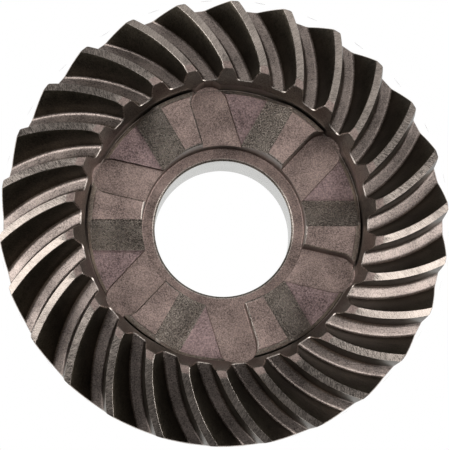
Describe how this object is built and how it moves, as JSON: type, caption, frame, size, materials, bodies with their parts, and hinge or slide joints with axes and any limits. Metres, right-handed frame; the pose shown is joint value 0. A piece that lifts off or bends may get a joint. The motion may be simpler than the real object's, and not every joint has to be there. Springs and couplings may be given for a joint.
{
  "type": "spiral bevel gear with clutch dogs",
  "caption": "Dark steel spiral bevel gear with a plain bore and face dogs for a sliding clutch inside its ring of teeth.",
  "frame": {"origin": "on the gear's axis, in the back face of the hub", "axes": "+Z along the axis, from the hub towards the teeth and the dogs; the first ramp's top edge runs along +X"},
  "size_m": [0.1094, 0.1096, 0.038],
  "materials": {
    "phosphated_steel": "machined and ground steel with a thin dark brown phosphate coat; rough as-forged patches beside the dogs"
  },
  "bodies": {
    "root": {"spiral_bevel_gear": "phosphated_steel"}
  },
  "joints": []
}
